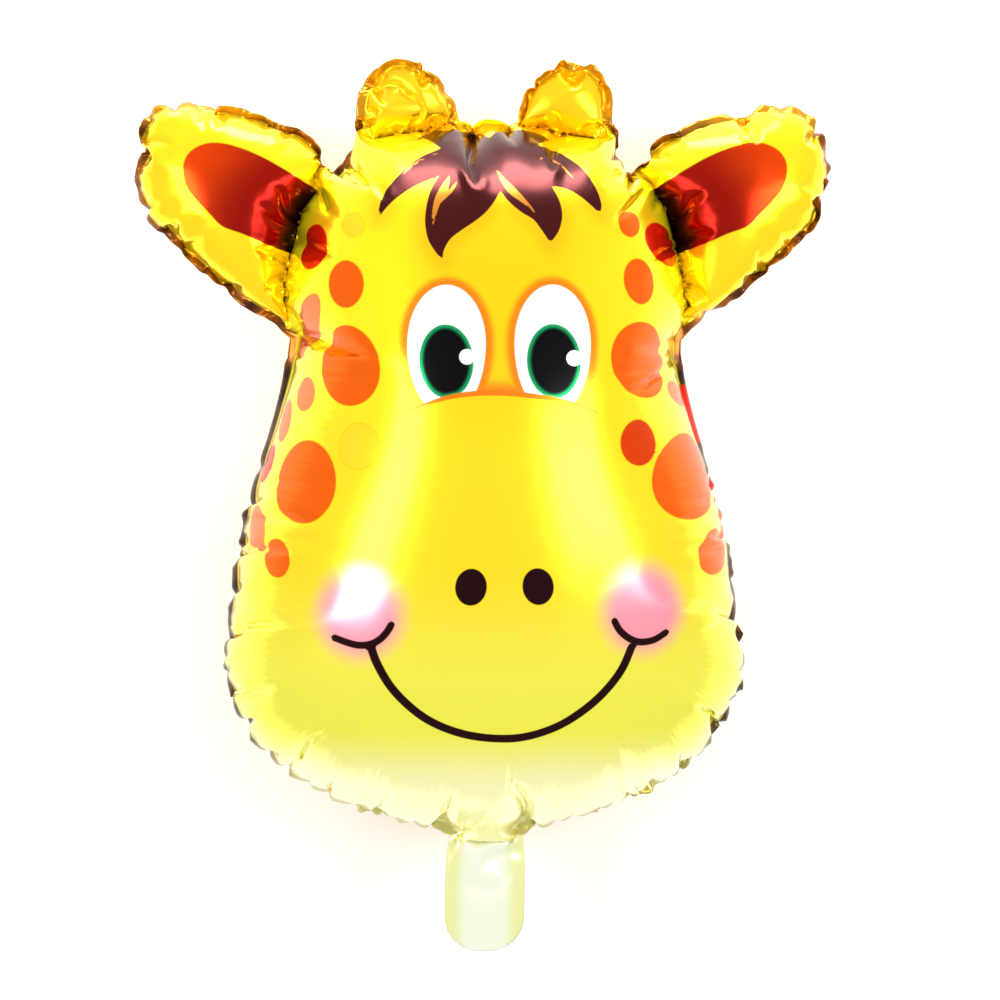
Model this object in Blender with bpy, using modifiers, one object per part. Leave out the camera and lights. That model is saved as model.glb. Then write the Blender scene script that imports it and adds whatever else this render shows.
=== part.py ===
"""A giraffe-head foil balloon, lying face up: two films welded round their rim and blown up.

The balloon is one sealed body: a head with two ears, two horns and a flat filling tail, all cut from the
same pair of films. Weld lines across the roots of the ears and horns make the deep creases there. The seam
runs round the outline as a thin flange, which the pressure draws into scallops with a pucker between each
two. Over the seam plane the shape is the one that an even pressure gives a membrane held at its welds.
Metres, +Z up out of the face, +Y to the top of the head, on a floor at Z = 0.
"""

import math

import bmesh
import bpy
import numpy as np
from mathutils.geometry import delaunay_2d_cdt

# Sizes of the blown-up balloon
BODY_HEIGHT = 0.564
TAIL_LENGTH = 0.086
TAIL_WIDTH = 0.058
TAIL_CORNER = 0.026
FLANGE_WIDTH = 0.0075
FILM_PAIR = 0.0022
PUCKER_PITCH = 0.0210
PUCKER_REACH = 0.0140
SCALLOP_DEPTH = 0.0036
FLANGE_WAVE = 0.0028
HORN_LEAN = 0.0140
TAIL_DROOP = 0.0100
FLOOR_PRESS = 0.0030

# Half the thickness over half the width, on a round balloon blown as full as this one
FULLNESS = 0.60
# The same ratio in the tail, which holds almost no gas
TAIL_FULLNESS = 0.05
# How deep a pucker cuts at the seam, as a share of the height beside it
PUCKER_CUT = 0.38

# The right half of the outline, as shares of the body's height, across and up from the muzzle's lower
# rim. Each run is smooth, and two runs meet in a notch.
FOREHEAD = [(0.000, 0.927), (0.035, 0.924)]
HORN = [(0.035, 0.924), (0.044, 0.943), (0.062, 0.974), (0.110, 1.000), (0.153, 0.977),
        (0.167, 0.934), (0.172, 0.902), (0.182, 0.880)]
TEMPLE = [(0.182, 0.880), (0.196, 0.866)]
EAR = [(0.196, 0.866), (0.222, 0.899), (0.268, 0.922), (0.324, 0.939), (0.370, 0.946), (0.412, 0.941),
       (0.438, 0.917), (0.449, 0.874), (0.447, 0.832), (0.430, 0.789), (0.398, 0.757), (0.348, 0.712),
       (0.302, 0.681), (0.262, 0.657)]
CHEEK = [(0.262, 0.657), (0.257, 0.629), (0.262, 0.592), (0.279, 0.529), (0.300, 0.463), (0.318, 0.396),
         (0.329, 0.325), (0.338, 0.258), (0.339, 0.211), (0.327, 0.167), (0.300, 0.122), (0.258, 0.081),
         (0.204, 0.048), (0.140, 0.024), (0.070, 0.006), (0.000, 0.000)]
# Weld lines in the right half, each from a notch to a free end, past which the gas flows
EAR_WELD = [(0.258, 0.664), (0.256, 0.710), (0.247, 0.765), (0.232, 0.812), (0.216, 0.840)]
HORN_WELD = [(0.038, 0.917), (0.070, 0.909), (0.105, 0.898), (0.140, 0.886)]

# The mesh: pieces of rim to a pucker, then rows of points inside the seam, each with its own spacing
PIECES_TO_A_PUCKER = 4
SEAM_SPACING = 0.0033
ROW_GAPS = (0.0055, 0.0140, 0.0260)
ROW_SPACINGS = (0.0045, 0.0070, 0.0105)
WELD_PITCH = 0.0075
INNER_PITCH = 0.0175
INNER_SPACING = 0.0120
CURVE_STEP = 0.0010

FOIL_YELLOW = (0.95, 0.74, 0.05, 1.0)
FOIL_ROUGHNESS = 0.18
FOIL_METALLIC = 0.75


def smooth_run(shares):
    """Points a step apart on a smooth curve through the given shares of the body's height."""
    knots = np.array(shares) * BODY_HEIGHT
    knots = np.vstack([2 * knots[0] - knots[1], knots, 2 * knots[-1] - knots[-2]])
    pieces = []
    for p0, p1, p2, p3 in zip(knots, knots[1:], knots[2:], knots[3:]):
        steps = max(2, round(math.dist(p1, p2) / CURVE_STEP))
        t = (np.arange(steps) / steps)[:, None]
        pieces.append(0.5 * (2 * p1 + (p2 - p0) * t + (2 * p0 - 5 * p1 + 4 * p2 - p3) * t**2
                             + (3 * p1 - p0 - 3 * p2 + p3) * t**3))
    return np.vstack([*pieces, knots[-2:-1]])


def tail_run():
    """The right half of the tail's edge, from the muzzle's rim down and round to its middle."""
    half = TAIL_WIDTH / 2
    corner = min(TAIL_CORNER, 0.95 * half, 0.95 * TAIL_LENGTH)
    turn = np.linspace(0, math.pi / 2, 24)
    rounding = np.column_stack([half - corner + corner * np.cos(turn),
                                corner - TAIL_LENGTH - corner * np.sin(turn)])
    return np.vstack([rounding, [0.0, -TAIL_LENGTH]])


def half_outline():
    """The rim's right half, from the top of the forehead round to the middle of the tail's end."""
    body = np.vstack([smooth_run(run)[:-1] for run in (FOREHEAD, HORN, TEMPLE, EAR, CHEEK)])
    over_the_tail = (body[:, 0] < TAIL_WIDTH / 2) & (body[:, 1] < BODY_HEIGHT / 10)
    return np.vstack([body[~over_the_tail], tail_run()])


def travelled(line):
    """How far along a line each of its points is."""
    return np.concatenate([[0], np.cumsum(np.linalg.norm(np.diff(line, axis=0), axis=1))])


def evenly_spaced(line, count):
    """Count points at even distances along a line, its two ends among them."""
    along = travelled(line)
    places = np.linspace(0, along[-1], count)
    return np.column_stack([np.interp(places, along, line[:, axis]) for axis in (0, 1)])


def inward(line):
    """The unit normal at each point of a line, to its right: into the balloon on the rim."""
    along = np.gradient(line, axis=0)
    along /= np.linalg.norm(along, axis=1)[:, None]
    return np.column_stack([along[:, 1], -along[:, 0]])


def nearest(points, line):
    """The distance from each point to the nearest of the line's points, and which one that is."""
    gaps = np.linalg.norm(points[:, None] - line[None], axis=2)
    return gaps.min(axis=1), gaps.argmin(axis=1)


def inside(points, rim):
    """Which points lie inside the right half, by counting the edges that a ray to the right crosses."""
    crossings = np.zeros(len(points), int)
    for (x1, y1), (x2, y2) in zip(rim, rim[1:]):
        straddled = (points[:, 1] > min(y1, y2)) & (points[:, 1] <= max(y1, y2))
        x_there = x1 + (points[:, 1] - y1) * (x2 - x1) / ((y2 - y1) or 1)
        crossings += straddled & (points[:, 0] < x_there)
    return crossings % 2 == 1


class HalfPlan:
    """The right half of the balloon's plan, as points joined into triangles, each point with its place
    among the puckers and its distance from the rim and from the nearest weld."""

    def __init__(self):
        outline = half_outline()
        self.puckers = round(travelled(outline)[-1] / PUCKER_PITCH)
        self.rim = evenly_spaced(outline, self.puckers * PIECES_TO_A_PUCKER + 1)
        self.rim[[0, -1], 0] = 0
        self.normals = inward(self.rim)
        self.normals[[0, -1]] = [[0, -1], [0, 1]]
        self.welds = [self.weld_line(run) for run in (EAR_WELD, HORN_WELD)]
        neck = [[x, 0.0] for x in np.linspace(0, TAIL_WIDTH / 2 - FLANGE_WIDTH, 4)]
        self.welds.append(np.array(neck))
        self.points = np.vstack([self.rim, *self.welds])
        self.add_rows()
        self.add_centre_line()
        self.add_inner_field()
        self.join_triangles()
        self.rim_gap, at = nearest(self.points, self.rim)
        self.weld_gap = np.min([nearest(self.points, weld)[0] for weld in self.welds], axis=0)
        self.phase = at / PIECES_TO_A_PUCKER
        self.in_tail = self.points[:, 1] < 0

    @staticmethod
    def weld_line(run):
        curve = smooth_run(run)
        return evenly_spaced(curve, round(travelled(curve)[-1] / WELD_PITCH) + 1)

    def add(self, candidates, spacing, rim_gap, weld_gap):
        """Keeps the candidates that are spaced out and no nearer than the gaps to rim and welds."""
        candidates = candidates[inside(candidates, self.rim) & (candidates[:, 0] > 0.6 * spacing)]
        far = nearest(candidates, self.rim)[0] > rim_gap
        for weld in self.welds:
            far &= nearest(candidates, weld)[0] > weld_gap
        for point in candidates[far]:
            if np.linalg.norm(self.points - point, axis=1).min() > spacing:
                self.points = np.vstack([self.points, point])

    def add_rows(self):
        """The seam line, then rows that follow the seam and the welds at growing distances."""
        self.add(self.rim + FLANGE_WIDTH * self.normals, SEAM_SPACING, 0.93 * FLANGE_WIDTH, SEAM_SPACING)
        for gap, spacing in zip(ROW_GAPS, ROW_SPACINGS):
            rows = [self.rim + (FLANGE_WIDTH + gap) * self.normals]
            for weld in self.welds:
                rows += [weld + gap * inward(weld), weld - gap * inward(weld)]
            self.add(np.vstack(rows), spacing, FLANGE_WIDTH + 0.9 * gap, 0.9 * gap)

    def add_centre_line(self):
        """Points on the plane of symmetry, closer together near the rim and the tail's weld."""
        top, bottom = self.rim[0, 1], self.rim[-1, 1]
        from_rim = [FLANGE_WIDTH, *(FLANGE_WIDTH + gap for gap in ROW_GAPS)]
        middle = np.arange(ROW_GAPS[-1] + INNER_PITCH, top - from_rim[-1] - INNER_PITCH / 2, INNER_PITCH)
        tail = np.linspace(bottom + FLANGE_WIDTH, -ROW_GAPS[0], 6)
        heights = [*tail, *ROW_GAPS, *middle, *(top - gap for gap in from_rim)]
        self.points = np.vstack([self.points, np.column_stack([np.zeros(len(heights)), heights])])

    def add_inner_field(self):
        """A field of equal triangles' corners in the middle."""
        row_gap = INNER_PITCH * math.sqrt(3) / 2
        for number, y in enumerate(np.arange(-TAIL_LENGTH, BODY_HEIGHT, row_gap)):
            x = np.arange(INNER_PITCH / (1 + number % 2), BODY_HEIGHT / 2, INNER_PITCH)
            row = np.column_stack([x, np.full(len(x), y)])
            self.add(row, INNER_SPACING, FLANGE_WIDTH + ROW_GAPS[1], ROW_GAPS[1])

    def join_triangles(self):
        """Delaunay triangles that keep to the rim and to the weld lines."""
        edges, start = [], len(self.rim)
        for weld in self.welds:
            edges += [(start + i, start + i + 1) for i in range(len(weld) - 1)]
            start += len(weld)
        border = list(range(len(self.rim)))
        inside_only, tolerance = 1, 1e-7
        made = delaunay_2d_cdt([tuple(p) for p in self.points], edges, [border], inside_only, tolerance)
        self.points = np.array([tuple(p) for p in made[0]])
        self.points[np.abs(self.points[:, 0]) < 10 * tolerance, 0] = 0
        self.triangles = np.array(made[2])


def blown_heights(plan):
    """Half the thickness at each point: the root of a membrane's rise under an even pressure, which is
    zero on the flange and on the welds."""
    x, y = plan.points[plan.triangles].transpose(2, 0, 1)
    across = np.roll(y, -1, axis=1) - np.roll(y, 1, axis=1)
    upward = np.roll(x, 1, axis=1) - np.roll(x, -1, axis=1)
    areas = 0.5 * (across[:, 0] * upward[:, 1] - across[:, 1] * upward[:, 0])
    stiffness = (across[:, :, None] * across[:, None] + upward[:, :, None] * upward[:, None])
    stiffness /= 4 * areas[:, None, None]
    count = len(plan.points)
    load = np.bincount(plan.triangles.ravel(), np.repeat(areas / 3, 3), count)
    free = plan.rim_gap > 1.05 * FLANGE_WIDTH
    free &= plan.weld_gap > WELD_PITCH / 10

    def pull(rise):
        parts = np.einsum("tij,tj->ti", stiffness, rise[plan.triangles])
        return np.bincount(plan.triangles.ravel(), parts.ravel(), count) * free

    rise = np.zeros(count)
    rest = load * free
    step = rest.copy()
    while rest @ rest > 1e-16 * (load @ load):
        pulled = pull(step)
        share = (rest @ rest) / (step @ pulled)
        rise += share * step
        new_rest = rest - share * pulled
        step = new_rest + (new_rest @ new_rest) / (rest @ rest) * step
        rest = new_rest
    fullness = np.where(plan.in_tail, TAIL_FULLNESS, FULLNESS)
    return 2 * fullness * np.sqrt(np.maximum(rise, 0))


def shaped(plan):
    """The front's and the back's points over the plan, with the puckers along the seam, the flange's
    waves, the horns leaning forward and the tail drooping."""
    heights = blown_heights(plan)
    fade = np.exp(-(np.maximum(plan.rim_gap - FLANGE_WIDTH, 0) / PUCKER_REACH)**2) * ~plan.in_tail
    valley = (0.5 + 0.5 * np.cos(2 * math.pi * plan.phase))**2
    heights *= 1 - PUCKER_CUT * fade * valley
    x, y = plan.points.T
    middle = FLANGE_WAVE * np.sin(math.pi * plan.phase) * fade**6
    horn_root, horn_top = HORN_WELD[-1][1] * BODY_HEIGHT, BODY_HEIGHT
    up_the_horn = np.clip((y - horn_root) / (horn_top - horn_root), 0, 1)
    middle += HORN_LEAN * up_the_horn**1.5 * (x < EAR[0][0] * BODY_HEIGHT)
    middle -= TAIL_DROOP * np.clip(-y / TAIL_LENGTH, 0, 1)**2
    on_rim = np.arange(len(plan.points)) < len(plan.rim)
    scallops = SCALLOP_DEPTH * valley[:len(plan.rim), None] * plan.normals
    scallops[plan.in_tail[on_rim]] = 0
    flat = plan.points.copy()
    flat[on_rim] += scallops
    flat[[0, len(plan.rim) - 1], 0] = 0
    half = heights + FILM_PAIR / 2
    return np.column_stack([flat, middle + half]), np.column_stack([flat, middle - half])


def centre_of_mass(points, faces):
    """The height along Y and Z of the centre of a half body that is open only on the plane X = 0."""
    a, b, c = (points[faces[:, corner]] for corner in range(3))
    volumes = np.einsum("ij,ij->i", a, np.cross(b, c))
    return ((a + b + c) * volumes[:, None]).sum(axis=0)[1:] / 4 / volumes.sum()


def turned(points, angle):
    """The points turned about X, with +Y going up for a positive angle."""
    x, y, z = points.T
    return np.column_stack([x, y * math.cos(angle) - z * math.sin(angle),
                            y * math.sin(angle) + z * math.cos(angle)])


def laid_down(points, faces):
    """The points with the balloon resting on its back, its centre of mass as low as a floor lets it be,
    and pressed a little flat where it touches."""
    centre = np.array([[0, *centre_of_mass(points, faces)]])
    angles = np.radians(np.arange(-20, 20, 0.1))
    clearances = [turned(centre, a)[0, 2] - turned(points, a)[:, 2].min() for a in angles]
    points = turned(points, angles[np.argmin(clearances)])
    points[:, 2] -= points[:, 2].min() + FLOOR_PRESS
    points[:, 2] = np.maximum(points[:, 2], 0)
    points[:, 1] -= (points[:, 1].min() + points[:, 1].max()) / 2
    return points


def balloon_mesh():
    """The right half of the balloon: its front, its back and the flange's edge between them."""
    plan = HalfPlan()
    front, back = shaped(plan)
    count, rim_count = len(front), len(plan.rim)
    edge = np.arange(rim_count - 1)
    walls = np.column_stack([edge, edge + 1, edge + 1 + count, edge + count])
    triangles = np.vstack([plan.triangles, plan.triangles[:, ::-1] + count, walls[:, :3],
                           walls[:, [0, 2, 3]]])
    points = laid_down(np.vstack([front, back]), triangles)
    shape = bmesh.new()
    corners = [shape.verts.new(point) for point in points]
    for triangle in triangles:
        shape.faces.new([corners[corner] for corner in triangle]).smooth = True
    mesh = bpy.data.meshes.new("foil_balloon")
    shape.to_mesh(mesh)
    shape.free()
    return mesh


def foil():
    material = bpy.data.materials.new("yellow_foil")
    material.use_nodes = True
    surface = material.node_tree.nodes["Principled BSDF"]
    surface.inputs["Base Color"].default_value = FOIL_YELLOW
    surface.inputs["Roughness"].default_value = FOIL_ROUGHNESS
    surface.inputs["Metallic"].default_value = FOIL_METALLIC
    return material


def main():
    for old in list(bpy.data.objects):
        bpy.data.objects.remove(old)
    collection = bpy.data.collections.new("giraffe_foil_balloon")
    bpy.context.scene.collection.children.link(collection)
    balloon = bpy.data.objects.new("foil_balloon", balloon_mesh())
    balloon.data.materials.append(foil())
    collection.objects.link(balloon)
    mirror = balloon.modifiers.new("left_half", "MIRROR")
    mirror.merge_threshold = 0.00005


main()
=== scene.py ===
"""The giraffe foil balloon's looks: two printed films, welded round the rim, blown up by simulation.

The films are cut as a flat pattern that is larger than the blown-up outline, tied together along the seam,
the flange and the weld lines, and filled. What the pattern has too much of round the rim buckles into
puckers and folds. The print is drawn on the flat pattern, before it is blown up.
"""

import math

import bpy
import numpy as np
from mathutils import Matrix, Vector
from mathutils.geometry import delaunay_2d_cdt
from mathutils.kdtree import KDTree


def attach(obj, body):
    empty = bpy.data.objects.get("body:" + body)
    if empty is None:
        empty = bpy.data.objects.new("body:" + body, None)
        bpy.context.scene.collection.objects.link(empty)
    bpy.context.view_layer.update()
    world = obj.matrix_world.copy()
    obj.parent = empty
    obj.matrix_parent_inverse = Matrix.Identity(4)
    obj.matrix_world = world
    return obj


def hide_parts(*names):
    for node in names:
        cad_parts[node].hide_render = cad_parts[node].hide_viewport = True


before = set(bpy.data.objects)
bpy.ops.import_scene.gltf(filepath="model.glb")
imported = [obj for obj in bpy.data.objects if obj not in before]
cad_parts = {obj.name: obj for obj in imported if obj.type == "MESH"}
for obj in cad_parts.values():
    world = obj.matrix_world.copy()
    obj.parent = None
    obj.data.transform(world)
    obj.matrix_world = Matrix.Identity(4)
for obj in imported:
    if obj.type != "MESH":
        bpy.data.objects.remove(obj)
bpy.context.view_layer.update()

# Sizes of the blown-up balloon in metres, as the solid has them
BODY_HEIGHT = 0.564
TAIL_LENGTH = 0.086
TAIL_WIDTH = 0.058
TAIL_CORNER = 0.026
FLANGE_WIDTH = 0.0075
HORN_LEAN = 0.0140
TAIL_DROOP = 0.0100
FLOOR_PRESS = 0.0030
FULLNESS = 0.60

# The right half of the outline, as shares of the body's height, across and up from the muzzle's lower rim
FOREHEAD = [(0.000, 0.927), (0.035, 0.924)]
HORN = [(0.035, 0.924), (0.044, 0.943), (0.062, 0.974), (0.110, 1.000), (0.153, 0.977),
        (0.167, 0.934), (0.172, 0.902), (0.182, 0.880)]
TEMPLE = [(0.182, 0.880), (0.196, 0.866)]
EAR = [(0.196, 0.866), (0.222, 0.899), (0.268, 0.922), (0.324, 0.939), (0.370, 0.946), (0.412, 0.941),
       (0.438, 0.917), (0.449, 0.874), (0.447, 0.832), (0.430, 0.789), (0.398, 0.757), (0.348, 0.712),
       (0.302, 0.681), (0.262, 0.657)]
CHEEK = [(0.262, 0.657), (0.257, 0.629), (0.262, 0.592), (0.279, 0.529), (0.300, 0.463), (0.318, 0.396),
         (0.329, 0.325), (0.338, 0.258), (0.339, 0.211), (0.327, 0.167), (0.300, 0.122), (0.258, 0.081),
         (0.204, 0.048), (0.140, 0.024), (0.070, 0.006), (0.000, 0.000)]
# Weld lines in the right half, each from a notch to a free end, past which the gas flows
EAR_WELD = [(0.258, 0.664), (0.256, 0.710), (0.247, 0.765), (0.232, 0.812), (0.216, 0.840)]
HORN_WELD = [(0.038, 0.917), (0.070, 0.912), (0.105, 0.906), (0.140, 0.899)]
# The heights of the ear's lower notch, and of the horn's weld at its inner and its outer end
EAR_ROOT = EAR[-1][1] * BODY_HEIGHT
HORN_TOP_ROOT = HORN_WELD[0][1] * BODY_HEIGHT
HORN_ROOT = HORN_WELD[-1][1] * BODY_HEIGHT

# The first mesh, which is cut in four twice: points along the rim, rows inside the seam, and the middle
CURVE_STEP = 0.0010
RIM_PITCH = 0.0085
ROW_GAPS = (0.0013, 0.0042, 0.0090, 0.0160, 0.0250)
ROW_PITCH = 0.0088
WELD_PITCH = 0.0080
INNER_PITCH = 0.0108
SCAN_PITCH = 0.0025
ON_WELD = 0.0002
ROW_SLACK = 0.96
SEAM_PITCH = 0.85 * ROW_PITCH
MIDDLE_SPACING = 0.75 * INNER_PITCH
TAIL_ROUNDING_STEPS = 24

# The two solvers: the most steps, and how small the rest has to be
HEIGHT_STEPS, HEIGHT_PRECISION = 2000, 1e-7
PATTERN_STEPS, PATTERN_PRECISION = 1500, 1e-5

# How much the flat pattern minds being longer across the steepest way than the blown-up film is, and the
# slope from which a way counts as steep
HOOP_WEIGHT = 0.002
FLAT_SLOPE = 0.10

# The simulation, in terms of one edge's stiffness. Squash is what is left of a spring's stiffness when it
# is pressed, on the cheeks and on the crown, and it changes between these two heights over the muzzle's rim
PRESSURE = 0.120
BENDING = 2e-9
FLANGE_BENDING = 6
FLANGE_STIFFNESS = 2
CROWN_SQUASH = 0.35
CHEEK_SQUASH = 0.22
CHEEK_TOP = 0.33
CROWN_FOOT = 0.42
LARGEST_TURNING = 2
PULL_MASS = 0.6
FLEX_MASS = 0.3
# How strongly the welded lines are drawn to the plan, across and in height, at a mesh of this pitch
GUIDE = 0.0006
LIFT_GUIDE = 0.0002
GUIDE_PITCH = 0.0025
DAMPING = 0.975
PUSH_EVERY = 4
LEVEL_STEPS = (300, 350, 260)
NOISY_LEVELS = 2
LEVEL_NOISE = 0.0003
PUCKER_SEED = 5
FILM_GAP = 0.0003

# The photograph's frame, in its pixels, and how it looks at the balloon
PHOTO_SIZE = 1000
METRES_TO_A_PIXEL = BODY_HEIGHT / 774
MIDDLE_COLUMN = 485
MUZZLE_ROW = 836
CAMERA_REACH = 2.4
CAMERA_YAW = math.radians(4.0)
SENSOR_WIDTH = 0.036

# How far the flange folds back behind the cheeks and the muzzle, where the film bulges over it
TUCK = math.radians(68)
TUCK_SHIFT = 0.55
TUCK_FADE = 0.030
TUCK_TOP = EAR_ROOT - 0.008
TUCK_FOOT = TUCK_TOP - 0.030
TUCK_SIDES = (TAIL_WIDTH / 2 + 0.004, TAIL_WIDTH / 2 + 0.022)

# The print, in the photograph's pixels
CURVE_PIXELS = 2.5
OVAL_POINTS = 40
FACE_COLUMN = 499
# Left and right ovals: the middle of the widest row, half the width, the reach above and below it, and the
# lean to the right at the top in degrees
EYES = [((446.6, 343), 39.3, 58.4, 73, 0), ((552.6, 343), 38.2, 58.6, 73, 0)]
IRISES = [((446.3, 361.4), 27.1, 37.0, 37, -3), ((553.9, 361.4), 27.0, 37.4, 37, -3)]
GLINTS = [((467.0, 356.8), 8.0, 8, 8, 0), ((574.2, 358.2), 8.0, 8, 8, 0)]
MUZZLE_LINE = [(392.0, 421.0), (405.0, 412.5), (423.5, 404.8), (448.5, 397.4), (470, 394), (491.8, 392.8),
               (510, 393.4), (526.6, 395.2), (556.9, 399.4), (578.6, 404.6), (592, 410), (603.6, 416.7)]
# The muzzle's area ends below the line. The line is orange over the middle, where it thins out towards the
# reach, and brown and faint at its two ends, from the first of the given distances from the middle on
MUZZLE_FOOT = [(603.6, 520), (392.0, 520)]
MUZZLE_HALF_WIDTH = 2.6
MUZZLE_END_WIDTH = 0.7
MUZZLE_REACH = 110
MUZZLE_CUT = 3
MUZZLE_BROWNING = (50, 80)
MUZZLE_END = (97, 103)
MUZZLE_LAST_ROW = MUZZLE_LINE[0][1] + 4
# The printed orange glow round the eyes and above the muzzle, and the orange painted shadow round the
# forelock: where each starts to fade and ends, and how strong the painted shadow is
EYE_GLOW = (4, 11)
MUZZLE_GLOW = (2, 17)
MUZZLE_GLOW_END = (98, 50)
MUZZLE_GLOW_LAST_ROW = 440
HAIR_PAINTED_SHADOW = (0, 20)
HAIR_PAINTED_SHADOW_SHARE = 0.30
NOSTRILS = [((471.0, 587.2), 15.9, 18.6, 18.6, 6), ((538.1, 586.6), 15.7, 18.5, 18.5, -6)]
SMILE = [(371.4, 648.4), (376.5, 662.4), (388, 682.9), (402, 699.4), (419.9, 714.7), (437.8, 725),
         (458.2, 732.6), (478.6, 736.9), (499, 738.6), (519.4, 737.7), (539.8, 733.1), (560.2, 725),
         (578.1, 714.2), (595.9, 700.2), (611.2, 684.1), (622.7, 667.6), (631.6, 647.1)]
DIMPLES = [[(334.4, 637.7), (345.9, 642), (357.4, 645.1), (368.9, 644.6), (379.1, 640), (386.7, 632.3),
            (391.3, 624.7)],
           [(614.5, 621.1), (618.9, 629.3), (625.3, 635.7), (634.2, 640.8), (643.1, 642), (654.6, 639.5),
            (666.1, 632.3)]]
SMILE_HALF_WIDTH = 4.2
DIMPLE_HALF_WIDTH = 3.5
# The middle of each blush, and how far from it the blush starts to fade and ends
BLUSHES = [(358.7, 614.0), (644.4, 609.0)]
BLUSH_SPAN = (26, 57)
# The forelock's outline: smooth runs, each of which starts at the corner where the one before it ends
FORELOCK_START = (488.2, 139)
FORELOCK = [
    [(483.2, 134.7), (470.2, 131.5), (448.5, 129.9), (435.4, 131.5), (426.8, 134.7), (414.8, 140.1)],
    [(426.8, 139.8), (433.3, 143.4), (441, 148.2)],
    [(435.4, 151), (422.4, 156.4), (407.2, 167.2), (392.1, 182.4), (383.4, 195.4), (379, 208.5),
     (378, 218.2)],
    [(389.9, 204.1), (402.9, 193.3), (418.1, 184.6), (431.1, 179.2), (438.7, 175.9)],
    [(431.1, 188.9), (426.8, 204.1), (425, 221.5), (427.9, 238.8), (435.4, 251.8), (442.4, 260.1)],
    [(444.1, 249.7), (450.6, 238.8), (461.5, 230.2), (474.5, 221.5), (485.3, 212.8), (494, 202),
     (500.5, 191.1)],
    [(509.2, 202), (522.2, 212.8), (533.1, 219.3), (541.7, 230.2), (550.4, 243.2)],
    [(559.1, 230.2), (562.3, 215), (559.1, 199.8), (551.5, 185.7)],
    [(565.6, 188.9), (578.6, 195.4), (589.5, 204.1), (599.9, 213.9)],
    [(601.4, 204.1), (596, 188.9), (585.1, 171.6), (572.1, 160.7), (556.9, 152.1), (543.9, 147.3),
     (535.2, 146)],
    [(540.5, 143.4), (550, 140.6)],
    [(539.6, 134.7), (526.6, 131.5), (509.2, 130.8), (496.2, 133.6), (488.2, 139)]]
# Pale strands in the forelock: each point with half the width there
STRANDS = [
    [(399.7, 177, 0.3), (408, 169, 1.2), (415.9, 162.9, 1.6), (427, 157, 1.3), (439.8, 153, 0.3)],
    [(433.3, 228, 0.3), (434.0, 215, 2.0), (438, 200, 3.4), (444, 188, 3.6), (451, 174, 0.5)],
    [(438.5, 204, 0.4), (445, 196, 2.4), (452, 189, 2.0), (457, 182, 0.4)],
    [(496, 168, 0.3), (503, 180, 2.6), (513, 191.5, 4.2), (525, 202, 2.4), (536.3, 213.9, 0.3)],
    [(536.3, 160.7, 0.4), (548.2, 157.5, 1.6), (561.3, 166.2, 1.7), (576.9, 181.3, 0.3)]]
# Spots: the middle, half the width, half the height, and the lean to the right at the top in degrees
# The spots with the pale ink are painted highlight: orange spots painted nearly the film's yellow, as if
# glare washes them out
SPOTS = [
    ((315.0, 247.4), 11.2, 22.4, 12, "red"), ((353.7, 224.7), 10.7, 12.0, 0, "pale"),
    ((346.0, 284.2), 17.3, 23.7, 0, "orange"), ((310.4, 326.3), 9.5, 30.0, 3, "rose"),
    ((348.9, 364.5), 28.0, 38.8, 3, "orange"), ((306.5, 394.4), 7.7, 17.3, 10, "rose"),
    ((358.8, 446.2), 19.6, 23.0, 5, "pale"), ((286.6, 421.0), 4.5, 22.0, 12, "rose"),
    ((304.0, 481.9), 28.6, 42.0, 9, "orange"), ((268.5, 464.0), 5.0, 20.0, 18, "red"),
    ((277.7, 557.9), 11.5, 19.1, 0, "orange"), ((258.0, 529.0), 6.4, 24.0, 2, "rose"),
    ((628.7, 224.0), 10.0, 13.2, -20, "orange"), ((662.0, 245.5), 8.8, 22.3, -18, "red"),
    ((639.0, 281.6), 14.4, 23.0, -10, "orange"), ((641.6, 361.0), 23.0, 38.5, -8, "orange"),
    ((638.4, 442.6), 17.3, 23.0, -4, "deep"), ((688.8, 476.1), 22.4, 43.2, -12, "orange"),
    ((713.3, 550.7), 10.0, 21.7, -5, "orange"), ((692.0, 415.0), 5.5, 32.0, -20, "red"),
    ((714.0, 484.0), 3.5, 17.0, -12, "red"), ((675.0, 394.0), 5.0, 14.0, -25, "rose"),
    ((725.0, 528.0), 4.0, 16.0, -12, "rose")]
# The print inside the right ear, which the left ear has mirrored
EAR_PRINT = [(643, 196), (656.6, 187.8), (683.1, 171.2), (709.6, 156.3), (737.8, 145.5), (759.4, 143),
             (776, 148.8), (785.1, 159.6), (786.7, 172.9), (782.6, 187.8), (771, 202.7), (759.4, 214.4),
             (747.8, 226), (727.9, 233.4), (711.3, 240.9), (693, 248.3), (676.5, 254.1), (660, 258)]
# How many of the seen points say where a pixel is on the film, and within how many pixels they count alike
NEAREST_POINTS = 30
NEAREST_BLUR = 4
SPOT_POINTS = 160
SPOT_BLUR = 60
# How far round its ink a layer is worked out, and what it says further out, in metres
PRINT_REACH = 0.016
FAR_OUTSIDE = 0.050

# The fine waves that run in from the seam, in metres: where they rise and fade inward from it, where they
# start above the tail and end below the ears, and how far they keep from the tail's neck
RIPPLE_PITCH = 0.0062
RIPPLE_HEIGHT = 0.00016
RIPPLE_RISE = (0.001, 0.010)
RIPPLE_FADE = (0.022, 0.045)
RIPPLE_FOOT = (0.004, 0.012)
RIPPLE_TOP = (EAR_ROOT, EAR_ROOT - 0.020)
NECK_SIDES = (0.014, 0.030)
NECK_TOP = (0.060, 0.080)

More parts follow.
